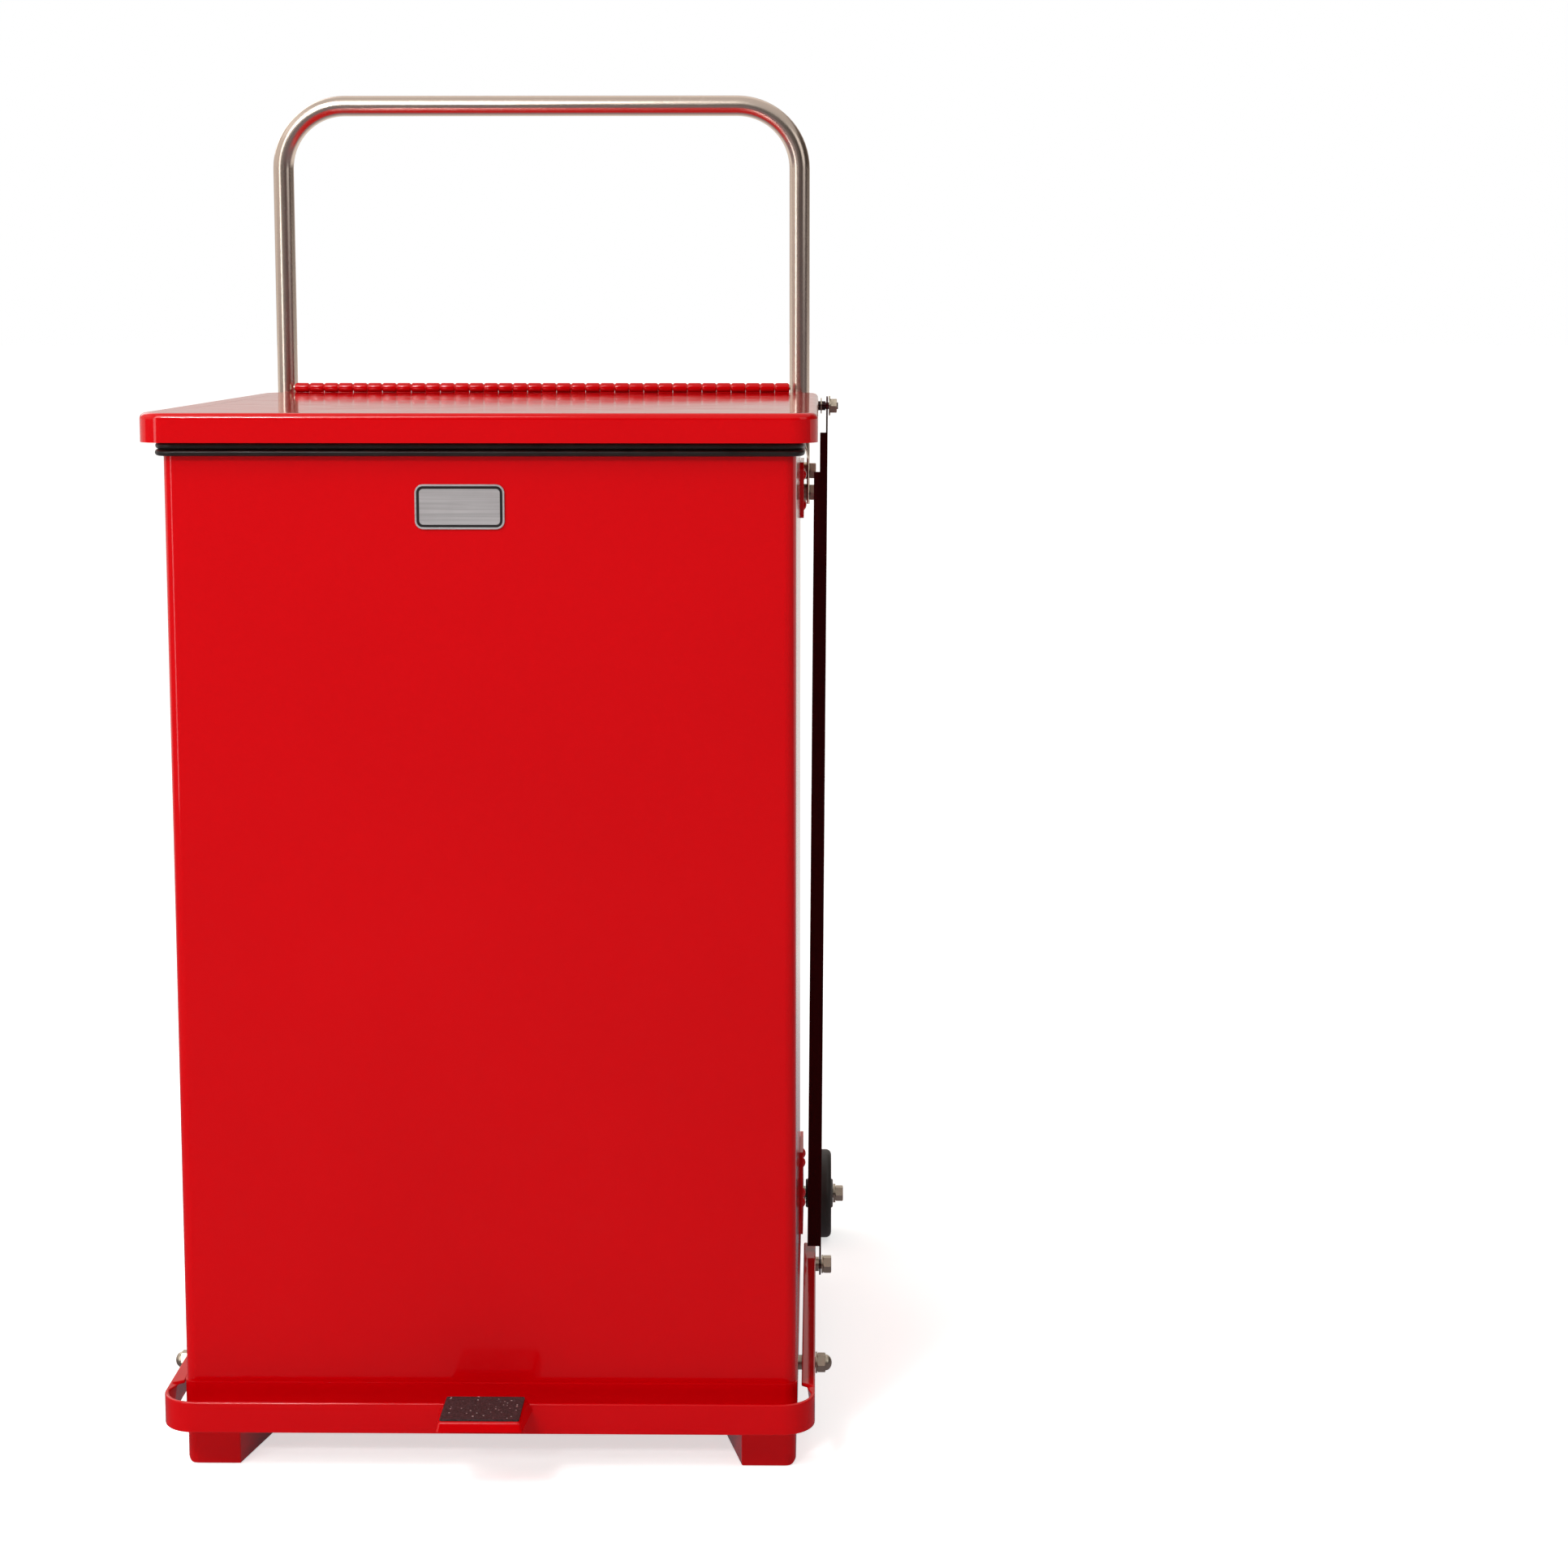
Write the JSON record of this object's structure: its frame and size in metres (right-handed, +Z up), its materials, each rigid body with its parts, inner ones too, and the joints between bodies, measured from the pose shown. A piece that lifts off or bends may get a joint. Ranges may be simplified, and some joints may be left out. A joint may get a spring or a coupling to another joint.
{
  "type": "waste can",
  "caption": "Square red steel step-on waste can: hinged lid raised by a foot pedal through a side rod, tube handle, rear wheels and a loose inner liner.",
  "frame": {"origin": "on the floor, under the middle of the whole object's footprint", "axes": "+X to the object's right as seen from its pedal side, +Y to the back, +Z up"},
  "size_m": [0.53, 0.637, 1.034],
  "materials": {
    "red_enamel": "glossy baked enamel",
    "dark_red_enamel": "glossy dark red enamel",
    "zinc_plate": "bright zinc plate with a faint warm tint",
    "stainless_tube": "satin stainless tube, brushed along its length",
    "gasket_rubber": "satin black rubber",
    "nameplate_metal": "satin plate with a dark rim",
    "grip_grit": "dark grit with bright specks",
    "bush_plastic": "natural nylon",
    "tyre_rubber": "satin black-brown rubber",
    "hub_plastic": "dull grey moulding",
    "liner_plastic": "semi-matt black moulding with faint scuffs"
  },
  "bodies": {
    "can": {"body_shell": "red_enamel", "base_pan": "red_enamel", "rim_gasket": "gasket_rubber", "front_foot_left": "red_enamel", "front_foot_right": "red_enamel", "nameplate": "nameplate_metal", "hinge_riser": "red_enamel", "hinge_body_leaf": "red_enamel", "hinge_pin": "zinc_plate", "hinge_rivets": "red_enamel", "handle": "stainless_tube", "handle_bracket_left": "red_enamel", "handle_bracket_right": "red_enamel", "handle_bracket_rivets": "red_enamel", "handle_spacers": "zinc_plate", "handle_bolts": "zinc_plate", "handle_nuts": "zinc_plate", "wheel_bracket_left": "red_enamel", "wheel_bracket_right": "red_enamel", "wheel_bracket_rivets": "red_enamel", "axle_bolts": "zinc_plate", "axle_nuts": "zinc_plate", "axle_spacers": "zinc_plate", "axle_washers": "zinc_plate", "pivot_shaft": "zinc_plate", "pivot_spacers": "zinc_plate", "pivot_washers": "zinc_plate", "pivot_cap_nuts": "zinc_plate"},
    "pedal": {"pedal_frame": "red_enamel", "pedal_tread": "red_enamel", "grip_pad": "grip_grit", "pedal_bushes": "bush_plastic", "rod_pivot_bolt": "zinc_plate", "rod_pivot_spacer": "zinc_plate", "rod_pivot_washer": "zinc_plate", "rod_pivot_nut": "zinc_plate"},
    "rod": {"lift_rod": "dark_red_enamel"},
    "lid": {"lid_shell": "red_enamel", "hinge_lid_leaf": "red_enamel", "lid_leaf_rivets": "red_enamel", "lid_stud": "dark_red_enamel", "lid_stud_washers": "zinc_plate", "lid_stud_sleeve": "dark_red_enamel", "lid_stud_nut": "zinc_plate"},
    "left_wheel": {"left_tyre": "tyre_rubber", "left_hub": "hub_plastic"},
    "right_wheel": {"right_tyre": "tyre_rubber", "right_hub": "hub_plastic"},
    "liner": {"liner": "liner_plastic"}
  },
  "joints": [
    {"name": "lid_hinge", "type": "hinge", "parent": "can", "child": "lid", "pos_m": [0, 0.22215, 0.7822], "axis": [-1, 0, 0], "range_deg": [0, 65]},
    {"name": "pedal_pivot", "type": "hinge", "parent": "can", "child": "pedal", "pos_m": [0, -0.1585, 0.046], "axis": [1, 0, 0], "range_deg": [0, 9.9]},
    {"name": "rod_pivot", "type": "hinge", "parent": "pedal", "child": "rod", "pos_m": [0.24375, 0.0665, 0.046], "axis": [1, 0, 0], "range_deg": [-10.3, 0]},
    {"name": "left_wheel_spin", "type": "hinge", "parent": "can", "child": "left_wheel", "pos_m": [-0.2435, 0.2785, 0.04], "axis": [1, 0, 0], "continuous": true},
    {"name": "right_wheel_spin", "type": "hinge", "parent": "can", "child": "right_wheel", "pos_m": [0.2435, 0.2785, 0.04], "axis": [1, 0, 0], "continuous": true},
    {"name": "liner_lift", "type": "slide", "parent": "can", "child": "liner", "axis": [0, 0, 1], "range_m": [0, 0.04]}
  ],
  "couplings": [
    {"joint": "pedal_pivot", "follows": "lid_hinge", "ratio": 0.151},
    {"joint": "rod_pivot", "follows": "lid_hinge", "ratio": -0.156}
  ]
}
